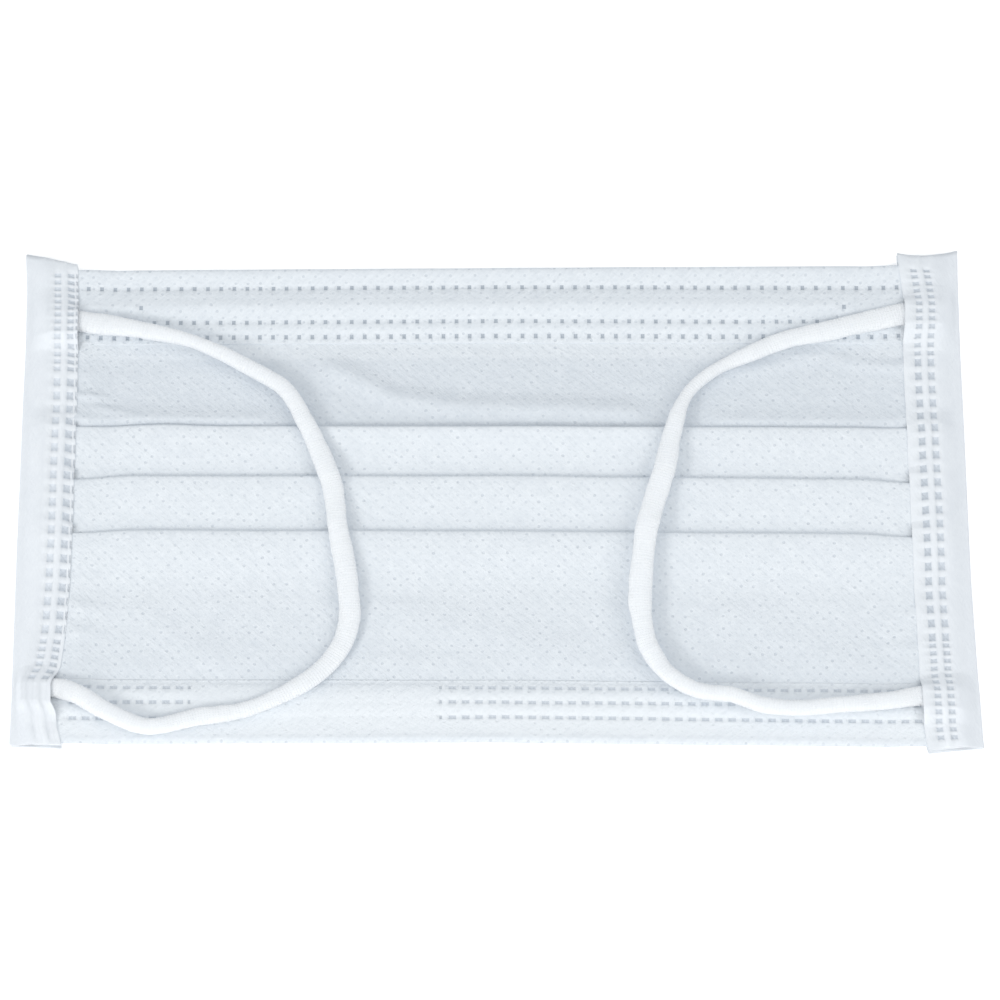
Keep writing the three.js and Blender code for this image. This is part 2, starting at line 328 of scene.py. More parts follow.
# Soft wrinkles of the single layers: half width, height, then points along the crest
WRINKLES = [
    (2.3, 1.05, (-33, 28.2), (-27, 25.1), (-19, 20.6), (-6, 18.5), (14, 18.2), (29, 17.4)),
    (2.6, 0.9, (-84, 15.4), (-60, 15.6), (-40, 15.5)),
    (2.6, 0.7, (38, 15.4), (60, 15.2), (84, 15)),
    (0.8, 0.7, (-80, 21.2), (-76, 21), (-70, 20.4)),
    (0.8, 0.5, (-77, 18.8), (-72, 18.4), (-66.5, 17)),
    (1, 0.3, (-80, 25.4), (-73, 25.8)),
    (1.4, 0.45, (44, 25), (58, 29.4), (62, 29.6)),
    (1.5, 0.5, (61, 29.4), (70, 27.6), (82, 26.6)),
    (1.2, 0.35, (-80, -21), (-69, -22.2)),
    (1.1, 0.35, (-80, -26.6), (-71, -26.2)),
    (1.1, 0.35, (72, -22.8), (82, -21.4)),
    (1.2, 0.3, (70, -28.4), (82, -29.4)),
    (3.6, 0.3, (-22, -21.5), (-4, -26), (16, -30)),
    (3.2, 0.25, (38, -21.5), (56, -27), (66, -32)),
    (3.2, 0.3, (-68, -21), (-58, -27), (-46, -33.5)),
]

# Bindings from the nose end to the chin end.
# y and x on the outer fold, y and x on the inner edge, height of the upper flap
LEFT_BINDING = [
    (50.4, -87.8, 47.9, -77.9, 1.5),
    (48.2, -87.75, 47, -77.9, 2.1),
    (46, -87.6, 45.8, -77.8, 2.5),
    (42.4, -87.4, 42.4, -77.7, 2.6),
    (39.6, -87.4, 39.6, -77.5, 3.4),
    (36.8, -87.35, 36.8, -77.4, 4.1),
    (32.6, -87.3, 32.6, -77.4, 4.1),
    (30, -87.3, 30, -77.4, 2.3),
    (18, -87.45, 18, -77.3, 2),
    (14.8, -87.45, 14.8, -77.3, 3.2),
    (4, -87.5, 4, -77.35, 3.2),
    (-8, -87.6, -8, -77.4, 3.2),
    (-17, -87.6, -17, -77.6, 2.2),
    (-26, -87.6, -26, -78, 2),
    (-33, -87.6, -33.2, -78.9, 2.4),
    (-36.4, -87.6, -36.8, -80.3, 3.9),
    (-40.2, -87.6, -40.6, -80.2, 3.9),
    (-41.8, -87.6, -42.2, -79.3, 3.2),
    (-44.5, -87.65, -44.7, -79.1, 2.6),
    (-46.6, -87.7, -46.9, -78.5, 2.4),
    (-47.9, -87.7, -48.3, -78.2, 2.1),
]
RIGHT_BINDING = [
    (51, 87.65, 50.2, 76.1, 1.5),
    (48.8, 87.6, 48.4, 76.2, 2.1),
    (46.4, 87.5, 46.4, 76.3, 2.5),
    (43, 87.45, 43, 76.7, 2.7),
    (40.6, 87.4, 40.6, 76.8, 3.4),
    (38.6, 87.4, 38.6, 76.9, 4.1),
    (34.4, 87.3, 34.4, 76.8, 4.1),
    (31.8, 87.3, 31.8, 76.5, 2.8),
    (29.6, 87.25, 29.6, 76.4, 2.1),
    (17.4, 87.25, 17.4, 76.4, 2),
    (14, 87.25, 14, 76.4, 3.2),
    (3, 87.2, 3, 76.45, 3.2),
    (-9, 87.15, -9, 76.5, 3.2),
    (-18, 87.15, -18, 76.5, 2.1),
    (-34.8, 87.5, -34.8, 76.8, 2.2),
    (-38.4, 87.65, -38.4, 76.9, 3.9),
    (-42.2, 87.75, -42.2, 77, 3.9),
    (-44.8, 87.8, -44.9, 77.1, 2.7),
    (-47.8, 87.9, -48.1, 77.4, 2.5),
    (-48.75, 88, -49.7, 77.9, 2.1),
]
# Where the loops enter the bindings
LEFT_ENTRIES = (34.6, -38.6)
RIGHT_ENTRIES = (36.4, -40.5)

# Tones of weld marks, dark to pale, by tenths
HEM_MARK, DARK_MARK, MIDDLE_MARK, LONG_MARK, PALE_MARK = 1, 6, 8, 9, 12

# Weld marks along the bindings: y from, y to, number of marks, half height, then the
# tones of the outer, inner and edge marks, or 0 where they are only pressed in
LEFT_WELDS = [
    (45.3, 26.2, 14, 0.4, PALE_MARK, MIDDLE_MARK, PALE_MARK),
    (23.5, -25.8, 19, 0.76, PALE_MARK, MIDDLE_MARK, PALE_MARK),
    (-28.2, -35.6, 6, 0.4, PALE_MARK, LONG_MARK, 0),
    (-37.5, -46.6, 5, 0.4, 0, 0, 0),
]
RIGHT_WELDS = [
    (46.5, 29.2, 12, 0.4, MIDDLE_MARK, MIDDLE_MARK, 0),
    (27.3, -27.8, 21, 0.76, MIDDLE_MARK, DARK_MARK, 0),
    (-29.4, -47.3, 13, 0.4, LONG_MARK, MIDDLE_MARK, 0),
]
TURN_STEPS = 5
LIFT = 0.8  # rise of the panel's ends onto the lower flaps
SQUEEZE = 0.64  # how far the stack of layers is pressed in the bindings
PLEAT_DEPTH = 4.0
CHIN_RUN = 133.95  # length of cloth from the nose hem's raw edge to the chin hem's turn
CHIN_HEM_RUN = 11.2  # length of cloth from there to the chin hem's raw edge
PLEAT_BOTTOM = 0.92  # height of the hidden layer at the pleat's lower fold
PLEAT_RETURN = 1.0  # height of the hidden layer below the visible fold
CREST = 1.7  # height of the cloth's middle on a visible fold
DROOPS = (0.2, 0.75, 0.6)  # drop of each fold's ends towards the chin
LAST_SLOPE = 11.0  # length of the slope below the last fold
FOLD_REACH = (CREST - PLEAT_RETURN) / 2 + 0.3  # from a fold's edge to its level cloth
FAR = 3000  # half the floor's size
FLOOR_GAP = 0.05  # between the mask and the floor
SIGHT_SLOPE = 0.43  # shift in Y that looks like 1 mm of height in the photo
SPAN = 200  # length of cloth in one unit of UV
BINDING_FOLD = 0.6  # rise of a binding's cloth in its outer fold
WELD_COLUMNS = 2.4  # between the two columns of weld marks of a binding
WELD_HALF = 0.6  # half width of those marks
WELD_RIM = 0.12  # from such a mark to the next mesh line along the binding
LOOP_STEP = 0.3  # spacing of the rings of an ear loop
LOOP_SIDES = 26
LOOP_REACH = 14  # how far along an ear loop a support holds it up
LOOP_FALL = 0.075  # slope at which it comes down from a support
LOOP_EASE = 2.5  # length over which its height is evened out to each side
LOOP_ENDS = (73, 77)  # distance from the middle where it comes down faster, and is held down
END_FALL = 0.4  # the slope there
WIRE_RINGS = 65
WIRE_SIDES = 20
WIRE_TIP = 1.5  # length of its rounded end
WIRE_PLACE = (39.0, 1.0)  # y and z
DOT_SPACING = (2.3, 1.2)  # pressed dots of the cloth: across and along
DOT_SIZE = (0.29, 0.26)
# Relief of a binding, from the outer weld marks to the inner edge
GROOVES = (0.03, 0.08, 0.08, 0.03, -0.1, 0.03, 0.08, 0.08, 0.03, 0.0, 0.0, 0.0)

# Camera: tilt off the vertical, turn and roll in degrees, then aim and distance in metres
CAMERA_ANGLES = (23.27, -2.14, 1.87)
CAMERA_AIM = (0.000979, 0.00029, 0.0)
CAMERA_DISTANCE = 0.866
LENS = 169.2
# Lights: name, place and size in metres, power in watts
LIGHTS = (
    ("window_light", (-0.66, -0.72, 0.79), 0.3, 3.3),
    ("window_glow", (-0.5, -0.9, 0.85), 1.3, 3.75),
    ("side_fill", (0.75, -0.35, 0.9), 0.8, 2.7),
)
LIGHT_COLOUR = (1.0, 0.98, 0.955)
SKY_COLOUR = (0.945, 0.975, 1.0, 1.0)
SKY_STRENGTH = 0.705
FLOOR_GLOW = 0.3


# Numbers


def mix(a, b, t):
    return a + (b - a) * t


def ease(t):
    t = min(max(t, 0.0), 1.0)
    return t * t * (3 - 2 * t)


def along(rows, key):
    """Row of a table at a value of its first column, between the rows on either side."""
    rows = sorted(rows)
    if key <= rows[0][0]:
        return rows[0]
    for low, high in zip(rows, rows[1:]):
        if key <= high[0]:
            t = (key - low[0]) / (high[0] - low[0])
            return tuple(mix(a, b, t) for a, b in zip(low, high))
    return rows[-1]


def ripple(x, y=0.0, z=0.0):
    """Smooth noise from -1 to 1."""
    return noise.noise(Vector((x, y, z)))


# Meshes


def ribbon(name, columns, marked):
    """Closed strip of cloth. Each column is a list of (upper point, lower point, u, v);
    marked(column, row) gives the tone of a weld mark on the upper side, or 0."""
    count = len(columns[0])
    points = []
    places = []
    for column in columns:
        points += [upper for upper, lower, u, v in column]
        points += [lower for upper, lower, u, v in column]
        places += [(u, v) for upper, lower, u, v in column] * 2
    step = 2 * count
    faces = []
    welds = []
    for c in range(len(columns) - 1):
        a = c * step
        b = a + step
        for r in range(count - 1):
            faces.append((a + r, b + r, b + r + 1, a + r + 1))
            welds.append(marked(c, r))
        for r in range(count, step - 1):
            faces.append((a + r, a + r + 1, b + r + 1, b + r))
            welds.append(0)
        last = count - 1
        faces.append((a, a + count, b + count, b))
        faces.append((a + last, b + last, b + count + last, a + count + last))
        welds += [0, 0]
    end = (len(columns) - 1) * step
    for r in range(count - 1):
        faces.append((r, r + 1, count + r + 1, count + r))
        faces.append((end + r + 1, end + r, end + count + r, end + count + r + 1))
        welds += [0, 0]
    return solid(name, points, faces, places, welds)


def tube_faces(rings, sides):
    """Faces of a tube with flat ends."""
    faces = []
    end = (rings - 1) * sides
    for a in range(0, end, sides):
        for k in range(sides):
            n = (k + 1) % sides
            faces.append((a + k, a + n, a + sides + n, a + sides + k))
    return faces + [tuple(reversed(range(sides))), tuple(range(end, end + sides))]


def enclosed(points, faces):
    """Volume inside the faces, negative where they are inside out."""
    total = 0.0
    for face in faces:
        a = Vector(points[face[0]])
        for i in range(1, len(face) - 1):
            total += a.dot(Vector(points[face[i]]).cross(Vector(points[face[i + 1]])))
    return total / 6


def solid(name, points, faces, places, welds=None):
    """Smooth mesh object from points in millimetres, with places on the cloth as UV. Faces
    that would enclose a negative volume are turned over. A weld mark has a place of its own: 0
    to 2 on each side, or 0 to 4 for a long one, plus ten times a number of its own across
    and ten times its tone along."""
    if enclosed(points, faces) < 0:
        faces = [tuple(reversed(face)) for face in faces]
    mesh = bpy.data.meshes.new(name)
    mesh.from_pydata([(x * MM, y * MM, z * MM) for x, y, z in points], [], faces)
    layer = mesh.uv_layers.new(name="cloth")
    flat = []
    for face in mesh.polygons:
        weld = welds[face.index] if welds else 0
        centre = sum((Vector(points[v]) for v in face.vertices), Vector()) / len(face.vertices)
        for v in face.vertices:
            if weld:
                reach = 4 if weld == LONG_MARK else 2
                across = (reach if points[v][0] > centre.x else 0) + 10 * (face.index % 9)
                lengthways = (2 if points[v][1] > centre.y else 0) + 10 * weld
                flat += (across / SPAN, lengthways / SPAN)
            else:
                flat += places[v]
    layer.data.foreach_set("uv", flat)
    if welds:
        mesh.polygons.foreach_set("material_index", [min(weld, 1) for weld in welds])
    mesh.polygons.foreach_set("use_smooth", [True] * len(mesh.polygons))
    mesh.update()
    piece = bpy.data.objects.new(name, mesh)
    bpy.context.scene.collection.objects.link(piece)
    return piece


def turn(path, edge, side, z_from, z_to, thickness):
    """Adds half a turn between two heights to a path, reaching to edge on its outside."""
    half = (z_to - z_from) / 2
    centre = edge - side * (abs(half) + thickness / 2)
    for i in range(TURN_STEPS + 1):
        angle = math.pi * i / TURN_STEPS
        across = centre + side * abs(half) * math.sin(angle)
        path.append((across, (z_from + z_to) / 2 - half * math.cos(angle), 0))


def offsets(path, thickness, thinned=0.0):
    """Points on both sides of a path of (across, height), thinned towards its ends."""
    made = []
    for i, here in enumerate(path):
        before = Vector(path[max(i - 1, 0)][:2])
        after = Vector(path[min(i + 1, len(path) - 1)][:2])
        direction = (after - before).normalized()
        end = min((Vector(here[:2]) - Vector(path[k][:2])).length for k in (0, -1))
        full = mix(1 - thinned, 1.0, ease(end / 4.0))
        aside = Vector((-direction.y, direction.x)) * (thickness / 2 * full)
        made.append((Vector(here[:2]) + aside, Vector(here[:2]) - aside))
    return made


# Shape of the pleated panel


def line_y(x, y):
    """Y of a cross line at X, from its Y at the middle of the mask."""
    row = along(CROSS_LINES, y)
    side = row[2] if x > 0 else row[1]
    shift = side * min(abs(x) / 76, 1.08)
    first = math.exp(-(((y - FOLDS[0]) / 3) ** 2))
    shift += 0.35 * first * math.exp(-(((x + 61) / 6) ** 2))
    for fold, droop in zip(FOLDS, DROOPS):
        shift -= droop * math.exp(-(((y - fold) / 3) ** 2)) * ease((abs(x) - 68) / 9)
    return y + shift + 0.08 * ripple(x * 0.06, y * 0.3, 4.0)


def end_lift(x):
    """Rise of the panel's ends onto the lower flaps of the bindings."""
    return LIFT * ease((abs(x) - 69) / 7.5)


def end_squeeze(x):
    """Share of their height that the layers keep where the bindings press them."""
    return mix(1.0, SQUEEZE, ease((abs(x) - 66) / 10))


def raised_fold(x, y, z):
    """Extra rise of the first fold, which stands up between the loops."""
    middle = ease((36 - abs(x)) / 10) * math.exp(-(((y - FOLDS[0]) / 3) ** 2))
    return 0.8 * middle * min(max(z - PLEAT_BOTTOM, 0.0) / (PLEAT_RETURN - PLEAT_BOTTOM), 1.0)


def slope_length(i):
    """Length of the slope below a fold, to just past the next one."""
    return FOLDS[i] - FOLD_REACH - FOLDS[i + 1] + 0.2 if i < 2 else LAST_SLOPE


def crest_path(fold, length, low):
    """Falling panel from a visible fold down to the single layer's height."""
    start = fold - FOLD_REACH
    return [
        (start - length * t, low + (CREST - low) * math.cos(math.pi * t / 2) ** 2, 0)
        for t in (0.06, 0.15, 0.25, 0.35, 0.46, 0.57, 0.68, 0.8, 0.92, 1.0)
    ]


def cloth_path(thickness):
    """Middle of the panel's cloth from the raw edge of the nose hem to that of the chin hem:
    y, height, and a weld row, 0, or -1 where the single layer wrinkles."""
    low = thickness / 2
    path = list(NOSE_HEM)
    turn(path, NOSE_EDGE, 1, HEM_TOP, low, thickness)
    path += [(y, low, 0) for y in (42.0, 36.5, 33.0)]
    path += [(31.4 - 0.61 * i, low, -1) for i in range(28)]
    for i, fold in enumerate(FOLDS):
        path += [(fold - 1.2, low, 0), (fold - 2.4, low, 0)]
        turn(path, fold - PLEAT_DEPTH, -1, low, PLEAT_BOTTOM, thickness)
        path.append((fold - 2.2, mix(PLEAT_BOTTOM, PLEAT_RETURN, 0.5), 0))
        turn(path, fold, 1, PLEAT_RETURN, CREST, thickness)
        path += crest_path(fold, slope_length(i), low)
    path += [(-19.6 - 0.84 * i, low, -1) for i in range(20)]
    path += [(-38.5, low, 0), (-43.0, low, 0)]
    turn(path, CHIN_EDGE, -1, low, HEM_TOP, thickness)
    path += CHIN_HEM
    return path


def near_line(x, y, spots):
    """Distance from a line of points, and distance along it from its nearer end."""
    best = 1e9
    run = 0.0
    place = 0.0
    for (x0, y0), (x1, y1) in zip(spots, spots[1:]):
        step = Vector((x1 - x0, y1 - y0))
        away = Vector((x - x0, y - y0))
        t = min(max(away.dot(step) / step.length_squared, 0.0), 1.0)
        gap = (away - step * t).length
        if gap < best:
            best = gap
            place = run + t * step.length
        run += step.length
    return best, min(place, run - place)


def wrinkle(x, y):
    """Rise of a single layer of cloth over the table."""
    rise = 0.1 + 0.14 * ripple(x * 0.06, y * 0.09, 1.0) + 0.07 * ripple(x * 0.16, y * 0.22, 6.0)
    for width, height, *spots in WRINKLES:
        gap, inward = near_line(x, y, spots)
        if gap < 3 * width:
            fade = 0.15 + 0.85 * ease(inward / 5)
            rise += height * fade * math.exp(-((gap / width) ** 2))
    if y > 0:
        fade = ease((y - FOLDS[0]) / 1.3) * ease((32.0 - y) / 3)
    else:
        fade = ease((-18.6 - y) / 2.5) * ease((y + 35.6) / 3)
    return max(rise, 0.0) * fade


def low_mark(group):
    """Centre and half width of a weld mark in the chin hem. The left group is set half a
    pitch over, and both groups end in a narrow remainder next to the bare length."""
    centre = LOW_MARKS[0] + LOW_MARKS[1] * group
    if group == LOW_MARK_GAP[0]:
        return centre - 1.67, 0.22
    if group == LOW_MARK_GAP[1]:
        return centre + 0.44, 0.22
    centre += 0.15 - 1.2 * ease((LOW_MARK_GAP[0] + 8 - group) / 8)
    centre += 0.1 * max(LOW_MARK_GAP[0] - group, 0) / LOW_MARK_GAP[0]
    return centre, LOW_MARKS[2]


def column_x(index, y):
    """X of a mesh line. Four lines stand at each weld mark and spread evenly between hems."""
    last = 4 * MARK_COUNT + 2
    ends = {0: -82.2, 1: -80.2, last: 80.2, last + 1: 82.2}
    if index in ends:
        return ends[index]
    group, line = divmod(index - 2, 4)
    top_x = TOP_MARKS[0] + TOP_MARKS[1] * group
    top_x += along(TOP_SHIFTS, top_x)[1]
    low_x, half = low_mark(group)
    side = -1 if line < 2 else 1
    outer = line in (0, 3)
    even = side * (0.93 if outer else 0.31)
    top = side * (TOP_MARKS[2] + (0.13 if outer else 0.0))
    low = side * (half + (0.13 if outer else 0.0))
    if y > 0:
        aside = mix(even, top, ease((y - 25) / 6))
    else:
        aside = mix(even, low, ease((-y - 28) / 7))
    return mix(low_x, top_x, min(max((y + 36) / 68, 0.0), 1.0)) + aside


def is_marked(group, row):
    """Whether a group of mesh lines has a weld mark in a weld row."""
    if row == 7:
        return group in WIRE_SPOTS
    return row < 4 or not LOW_MARK_GAP[0] < group < LOW_MARK_GAP[1]


def panel_columns(thickness, depth):
    """Columns of the panel for ribbon(), and its path."""
    path = cloth_path(thickness)
    sides = offsets(path, thickness, 0.7)
    run = [0.0]
    for before, after in zip(path, path[1:]):
        run.append(run[-1] + math.hypot(after[0] - before[0], after[1] - before[1]))
    columns = []
    for index in range(4 * MARK_COUNT + 4):
        group, line = divmod(index - 2, 4)
        inside = 0 <= group < MARK_COUNT and line in (1, 2)
        column = []
        for i, (upper, lower) in enumerate(sides):
            y, z, row = path[i]
            x = column_x(index, y)
            marked = row > 0 and inside and is_marked(group, row)
            rise = wrinkle(x, y) if row == -1 else 0.0
            if i < len(NOSE_HEM) or i >= len(path) - len(CHIN_HEM):
                rise += 0.06 * ripple(x * 0.11, y * 0.2, 2.0)
            if z > 1.3 and row == 0:
                rise += 0.1 * ripple(x * 0.045, y * 0.12, 3.0)
            hump = raised_fold(x, y, z)
            lift = end_lift(x)
            press = end_squeeze(x)
            pair = []
            for spot, fall in ((upper, depth if marked else 0.0), (lower, 0.0)):
                height = spot.y * press + lift + rise + hump - fall
                pair.append((x, line_y(x, y) + (spot.x - y) - hump * SIGHT_SLOPE, height))
            column.append((*pair, x / SPAN + 0.5, run[i] / SPAN))
        columns.append(column)
    return columns, path


def rest_height(x, y, thickness):
    """Height of the panel's upper surface at a place, for what lies on it."""
    top = thickness
    for hem in (NOSE_HEM + [(46.6, 1.3, 0)], CHIN_HEM + [(-47.5, 1.3, 0)]):
        hem = sorted(hem)
        if hem[0][0] <= y <= hem[-1][0]:
            top = max(top, along(hem, y)[1] + thickness / 2)
    for i, fold in enumerate(FOLDS):
        fall = (fold - FOLD_REACH - y) / slope_length(i)
        if -0.1 <= fall <= 1:
            turned = math.cos(math.pi * max(fall, 0) / 2) ** 2
            top = max(top, thickness + (CREST - thickness / 2) * turned)
    if -36 < y < 32 and top == thickness:
        top += wrinkle(x, y)
    return top * end_squeeze(x) + end_lift(x)


# Shape of the ear loops


def smooth_route(rows, count):
    """Points of a curve through the rows' x, y, z, its knots spaced by the roots of the
    distances, with the other columns carried along."""
    spots = [Vector(row[:3]) for row in rows]
    spots = [spots[0] * 2 - spots[1]] + spots + [spots[-1] * 2 - spots[-2]]
    made = []
    spans = len(rows) - 1
    for i in range(count + 1):
        place = min(i / count * spans, spans - 1e-9)
        k = int(place)
        t = place - k
        level = spots[k : k + 4]
        knots = [0.0]
        for a, b in zip(level, level[1:]):
            knots.append(knots[-1] + math.sqrt((b - a).length))
        now = mix(knots[1], knots[2], t)
        for spread in (((0, 1), (1, 2), (2, 3)), ((0, 2), (1, 3)), ((1, 3),)):
            shares = [(now - knots[a]) / (knots[b] - knots[a]) for a, b in spread]
            level = [a.lerp(b, share) for a, b, share in zip(level, level[1:], shares)]
        extra = [mix(a, b, ease(t)) for a, b in zip(rows[k][3:], rows[k + 1][3:])]
        made.append((level[0], *extra))
    return made


def even_route(rows, spacing):
    """The smooth route at even steps along its length."""
    dense = smooth_route(rows, 1200)
    run = [0.0]
    for before, after in zip(dense, dense[1:]):
        run.append(run[-1] + (after[0] - before[0]).length)
    count = int(run[-1] / spacing)
    made = []
    k = 0
    for i in range(count + 1):
        want = run[-1] * i / count
        while k < len(run) - 2 and run[k + 1] < want:
            k += 1
        t = (want - run[k]) / max(run[k + 1] - run[k], 1e-9)
        a, b = dense[k], dense[k + 1]
        ahead = b[0] - a[0]
        left = Vector((-ahead.y, ahead.x, 0)).normalized()
        width, thick, aside, spring = (mix(p, q, t) for p, q in zip(a[1:], b[1:]))
        made.append((a[0].lerp(b[0], t) + left * aside, width, thick, spring))
    return made, run[-1] / count


def settle(route, step, thickness):
    """Lowers the route onto the mask. The springy elastic comes down slowly from what
    holds it up, and is pressed down where it enters a binding."""
    needed = []
    for i, (spot, width, thick, spring) in enumerate(route):
        before = route[max(i - 1, 0)][0]
        after = route[min(i + 1, len(route) - 1)][0]
        aside = Vector((before.y - after.y, after.x - before.x)).normalized() * width
        under = max(
            rest_height(spot.x + aside.x * k, spot.y + aside.y * k, thickness)
            for k in (-0.38, -0.2, 0.0, 0.2, 0.38)
        )
        needed.append(under + thick / 2 + 0.05)
    reach = int(LOOP_REACH / step)
    high = []
    for i, (spot, width, thick, spring) in enumerate(route):
        fall = END_FALL if abs(spot.x) > LOOP_ENDS[0] else LOOP_FALL
        near = range(max(i - reach, 0), min(i + reach + 1, len(needed)))
        high.append(max(needed[j] - fall * abs(j - i) * step for j in near))
    reach = int(LOOP_EASE / step)
    settled = []
    for i, (spot, width, thick, spring) in enumerate(route):
        near = high[max(i - reach, 0) : i + reach + 1]
        height = sum(near) / len(near)
        if abs(spot.x) > LOOP_ENDS[1]:
            height = min(height, needed[i] + 0.1)
        height = max(height, needed[i]) + spring
        y = spot.y + (spot.z - height) * SIGHT_SLOPE
        settled.append((Vector((spot.x, y, height)), width, thick))
    return settled


def loop_tube(name, rows, seed, thickness):
    """Soft flattened elastic along a route."""
    route, step = even_route(rows, LOOP_STEP)
    route = settle(route, step, thickness)
    points = []
    places = []
    for i, (spot, width, thick) in enumerate(route):
        before = route[max(i - 1, 0)][0]
        after = route[min(i + 1, len(route) - 1)][0]
        ahead = (after - before).normalized()
        aside = Vector((-ahead.y, ahead.x, 0)).normalized()
        out = ahead.cross(aside)
        run = i * step
        width *= 1 + 0.05 * ripple(run * 0.16, seed)
        thick *= 1 + 0.06 * ripple(run * 0.13, seed + 5)
        pinch = 1 + 0.012 * math.sin(run * 2 * math.pi / 0.95 + 2 * ripple(run * 0.4, seed + 9))
        for k in range(LOOP_SIDES):
            turned = k / LOOP_SIDES
            angle = 2 * math.pi * k / LOOP_SIDES
            c = math.cos(angle)
            s = math.sin(angle)
            across = math.copysign(abs(c) ** 0.85, c) * width / 2 * pinch
            up = math.copysign(abs(s) ** 0.9, s) * thick / 2 * pinch
            spread = 1 + 0.05 * ripple(run * 0.5, math.cos(angle), seed + math.sin(angle))
            points.append(spot + aside * (across * spread) + out * (up * spread))
            places.append((turned if turned <= 0.5 else 1 - turned, run / SPAN))
    piece = solid(name, points, tube_faces(len(route), LOOP_SIDES), places)
    line = [[c * MM for c in spot] for spot, width, thick in route[::4]]
    return piece, line


# Shape of the bindings


def binding_stations(rows, welds):
    """Y of the mesh lines along a binding, and the tones of the weld marks between two
    lines if there are any."""
    marks = []
    for start, end, count, half, *tones in welds:
        for i in range(count):
            marks.append((mix(start, end, i / (count - 1)), half, tones))
    stations = []
    top = 0.5 * (rows[0][0] + rows[0][2])
    for t in (0.0, 0.3, 0.65):
        stations.append((mix(top, marks[0][0] + marks[0][1] + 0.35, t), None))
    for centre, half, tones in marks:
        stations += [(centre + half + WELD_RIM, None), (centre + half, tones)]
        stations += [(centre - half, None), (centre - half - WELD_RIM, None)]
    low = 0.5 * (rows[-1][0] + rows[-1][2])
    for t in (0.35, 0.7, 1.0):
        stations.append((mix(marks[-1][0] - marks[-1][1] - 0.35, low, t), None))
    return stations


def binding_columns(rows, welds, entries, first_weld, cloth, thickness, depth, dip):
    """Columns of a binding for ribbon(). first_weld is the distance of the inner column of
    weld marks from the inner edge, and dip is how far the nose end bows in. The edge drapes
    onto the panel, but not over the loops."""
    stations = binding_stations(rows, welds)
    table = [(0.5 * (a + c), a, b, c, d, e) for a, b, c, d, e in rows]
    low = thickness / 2
    fold_top = low + BINDING_FOLD
    second = first_weld + WELD_COLUMNS
    mark = (0.74, WELD_HALF, -WELD_HALF, -0.74)
    edge = [second + half for half in mark] + [0.5 * (first_weld + second)]
    edge += [first_weld + half for half in mark] + [0.4, 0.12, 0.0]
    columns = []
    for s, (station, weld) in enumerate(stations):
        _, outer_y, outer_x, inner_y, inner_x, height = along(table, station)
        inner_x += 0.07 * ripple(station * 0.25, outer_x) * math.copysign(1, inner_x)
        width = abs(inner_x - outer_x)
        middle = height - low
        rising = min(4.6, width - edge[0] - 0.5)
        path = [(width, low, 0), (width * 0.7, low, 0), (width * 0.35, low, 0)]
        turn(path, 0.0, -1, low, fold_top, thickness)
        for t in (0.15, 0.35, 0.55, 0.75, 0.9):
            across = mix(0.7, rising, t)
            path.append((across, mix(fold_top, middle, ease(t)), 0))
        clear = ease((min(abs(station - entry) for entry in entries) - 2.6) / 2.5)
        inside = min(max(inner_y, CHIN_EDGE + 1.5), NOSE_EDGE - 1.5)
        under = max(rest_height(inner_x, inside + k, cloth) for k in (-0.4, 0.0, 0.4))
        drop = max(middle - under - low + 0.12, 0.0) * clear
        bare = any(
            end - 1 < station < start + 1 and not sum(tones)
            for start, end, count, half, *tones in welds
        )
        for i, distance in enumerate(edge):
            across = width - distance
            z = middle + 0.05 * ripple(across * 0.3, station * 0.2, 7.0)
            z -= GROOVES[i] * (2.2 if bare else 1.0)
            path.append((across, z - drop * ease(1 - distance / (first_weld + 0.9)), 0))
        sides = offsets(path, thickness)
        tones = weld or (stations[s - 1][1] if s else None) or (0, 0, 0)
        sunk = (1, 2) * (tones[0] > 0) + (6, 7) * (tones[1] > 0) + (10,) * (tones[2] > 0)
        first = len(path) - len(edge)
        column = []
        for i, (upper, lower) in enumerate(sides):
            pair = []
            for spot, fall in ((upper, depth if i - first in sunk else 0.0), (lower, 0.0)):
                t = spot.x / width
                y = mix(outer_y, inner_y, t)
                y -= 4 * dip * t * (1 - t) * ease((station - 44) / 5)
                pair.append((mix(outer_x, inner_x, t), y, spot.y - fall))
            column.append((*pair, path[i][0] / SPAN, (station + 60) / SPAN))
        columns.append(column)

    def marked(c, r):
        tones = stations[c][1]
        return dict(zip((1, 6, 9), tones)).get(r - first, 0) if tones else 0

    return columns, marked


# Finishes


class Value:
    """One number of a material's node tree, for writing shader maths as expressions."""

    def __init__(self, finish, socket):
        self.finish = finish
        self.socket = socket

    def _math(self, operation, *others):
        sockets = {0: self}
        sockets.update({i + 1: other for i, other in enumerate(others)})
        return self.finish.node("ShaderNodeMath", {"operation": operation}, sockets)

    def _turned(self, operation, other):
        return self.finish.node("ShaderNodeMath", {"operation": operation}, {0: other, 1: self})

    def __add__(self, other):
        return self._math("ADD", other)

    __radd__ = __add__

    def __sub__(self, other):
        return self._math("SUBTRACT", other)

    def __rsub__(self, other):
        return self._turned("SUBTRACT", other)

    def __mul__(self, other):
        return self._math("MULTIPLY", other)

    __rmul__ = __mul__

    def __truediv__(self, other):
        return self._math("DIVIDE", other)

    def __rtruediv__(self, other):
        return self._turned("DIVIDE", other)

    def floor(self):
        return self._math("FLOOR")

    def part(self):
        return self._math("FRACT")

    def root(self):
        return self._math("SQRT")

    def sine(self):
        return self._math("SINE")

    def size(self):
        return self._math("ABSOLUTE")

    def kept(self):
        """Held between 0 and 1."""
        return self.finish.node(
            "ShaderNodeMath", {"operation": "ADD", "use_clamp": True}, {0: self, 1: 0.0}
        )


